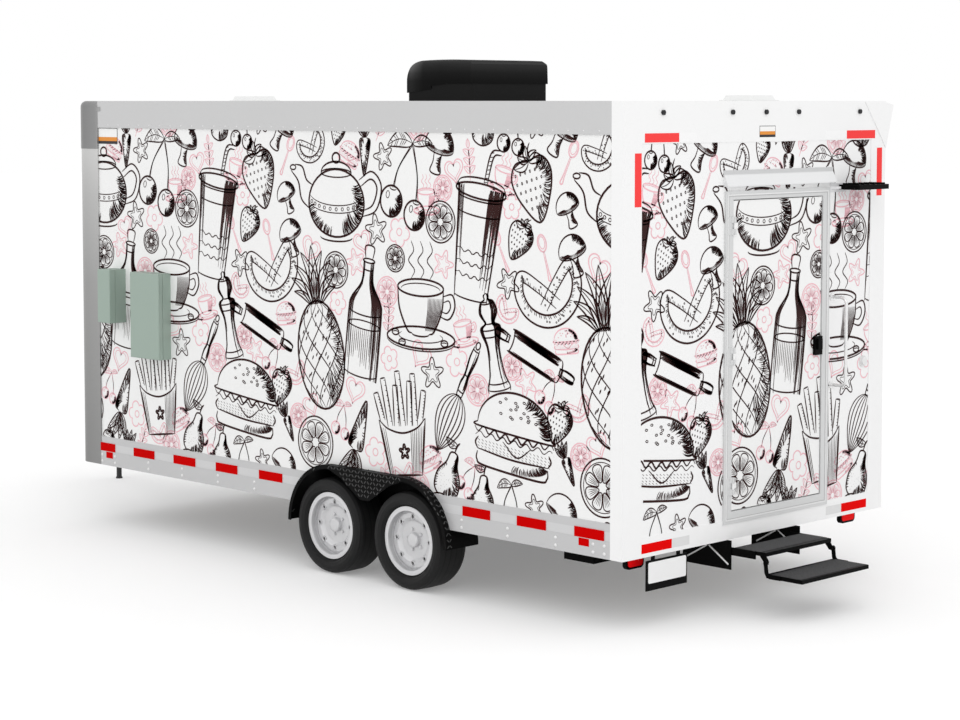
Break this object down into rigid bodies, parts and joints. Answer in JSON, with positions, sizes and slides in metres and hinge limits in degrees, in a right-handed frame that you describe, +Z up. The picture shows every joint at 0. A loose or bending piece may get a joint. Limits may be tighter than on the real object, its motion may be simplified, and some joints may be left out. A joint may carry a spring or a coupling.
{
  "type": "food trailer",
  "caption": "White boxy food trailer on tandem wheels with rear entry door, folding steps, side serving hatch, roof air conditioner and A-frame tongue on its jack.",
  "frame": {"origin": "on the ground, below the middle of the overall length and width", "axes": "+X forwards to the coupler, +Y to the left side, +Z up"},
  "size_m": [6.228, 2.312, 2.81],
  "materials": {
    "dark_plastic": "matt",
    "black_plastic": "gloss",
    "white_frame": "gloss",
    "black_steel": "satin",
    "grey_corner": "brushed",
    "zinc": "zinc plated",
    "light_aluminium": "satin",
    "white_panel": "gloss",
    "tread_plate": "embossed tread plate",
    "plywood": "sealed",
    "sage_box": "satin",
    "bright_steel": "polished",
    "hub_steel": "machined",
    "white_plastic": "satin",
    "dark_lens": "gloss",
    "wheel_silver": "satin",
    "grit_tread": "gritty",
    "red_lens": "gloss",
    "tyre": "matt"
  },
  "bodies": {
    "trailer": {"ac_base": "dark_plastic", "ac_shroud": "black_plastic", "awning_case": "white_frame", "axles": "black_steel", "corner_caps": "grey_corner", "corner_posts": "grey_corner", "coupler": "zinc", "cross_members": "black_steel", "door_frame": "light_aluminium", "drip_cap": "white_frame", "fender_left": "tread_plate", "fender_right": "tread_plate", "flood_lamp": "black_plastic", "floor": "plywood", "gas_box": "sage_box", "grab_handle": "bright_steel", "inlet_cap": "white_plastic", "jack_leg": "zinc", "jack_tube": "black_steel", "lamp_bracket": "zinc", "licence_plate": "white_frame", "main_rails": "black_steel", "marker_lamps": "dark_lens", "plate_frame": "dark_plastic", "power_box": "sage_box", "rear_frame": "white_frame", "roof": "white_panel", "roof_vents": "white_plastic", "side_rails": "black_steel", "side_sills": "light_aluminium", "stabilisers": "black_steel", "step_frame": "black_steel", "step_upper": "grit_tread", "tail_housings": "dark_plastic", "tail_lamps": "red_lens", "tongue_frame": "black_steel", "top_rails": "light_aluminium", "wall_front": "white_panel", "wall_left": "white_panel", "wall_rear": "white_panel", "wall_right": "white_panel", "window_frame": "light_aluminium"},
    "wheel_front_left": {"hub_front_left": "hub_steel", "rim_front_left": "wheel_silver", "tyre_front_left": "tyre"},
    "wheel_front_right": {"hub_front_right": "hub_steel", "rim_front_right": "wheel_silver", "tyre_front_right": "tyre"},
    "wheel_rear_left": {"hub_rear_left": "hub_steel", "rim_rear_left": "wheel_silver", "tyre_rear_left": "tyre"},
    "wheel_rear_right": {"hub_rear_right": "hub_steel", "rim_rear_right": "wheel_silver", "tyre_rear_right": "tyre"},
    "door": {"entry_door": "white_panel", "door_latch": "black_plastic"},
    "hatch": {"serving_hatch": "white_panel"},
    "cylinders": {"strut_cylinders": "black_steel"},
    "rods": {"strut_rods": "bright_steel"},
    "lower_step": {"step_lower": "grit_tread"}
  },
  "joints": [
    {"name": "front_left_wheel_spin", "type": "hinge", "parent": "trailer", "child": "wheel_front_left", "pos_m": [-0.529, 0.9895, 0.262], "axis": [0, 1, 0], "continuous": true},
    {"name": "front_right_wheel_spin", "type": "hinge", "parent": "trailer", "child": "wheel_front_right", "pos_m": [-0.529, -0.9895, 0.262], "axis": [0, 1, 0], "continuous": true},
    {"name": "rear_left_wheel_spin", "type": "hinge", "parent": "trailer", "child": "wheel_rear_left", "pos_m": [-1.151, 0.9895, 0.262], "axis": [0, 1, 0], "continuous": true},
    {"name": "rear_right_wheel_spin", "type": "hinge", "parent": "trailer", "child": "wheel_rear_right", "pos_m": [-1.151, -0.9895, 0.262], "axis": [0, 1, 0], "continuous": true},
    {"name": "door_swing", "type": "hinge", "parent": "trailer", "child": "door", "pos_m": [-2.663, 0.243, 1.3], "axis": [0, 0, -1], "range_deg": [0, 170]},
    {"name": "hatch_lift", "type": "hinge", "parent": "trailer", "child": "hatch", "pos_m": [-0.231, -1.075, 2.206], "axis": [-1, 0, 0], "range_deg": [0, 90]},
    {"name": "strut_tilt", "type": "hinge", "parent": "trailer", "child": "cylinders", "pos_m": [-0.231, -0.965, 1.5], "axis": [1, 0, 0], "range_deg": [0, 29]},
    {"name": "rod_slide", "type": "slide", "parent": "cylinders", "child": "rods", "axis": [0, 0, 1], "range_m": [0, 0.196]},
    {"name": "step_fold", "type": "hinge", "parent": "trailer", "child": "lower_step", "pos_m": [-2.889, -0.019, 0.275], "axis": [0, 1, 0], "range_deg": [0, 180]}
  ],
  "couplings": [
    {"joint": "strut_tilt", "follows": "hatch_lift", "ratio": 0.3219},
    {"joint": "rod_slide", "follows": "hatch_lift", "m_per_rad": 0.1243}
  ]
}
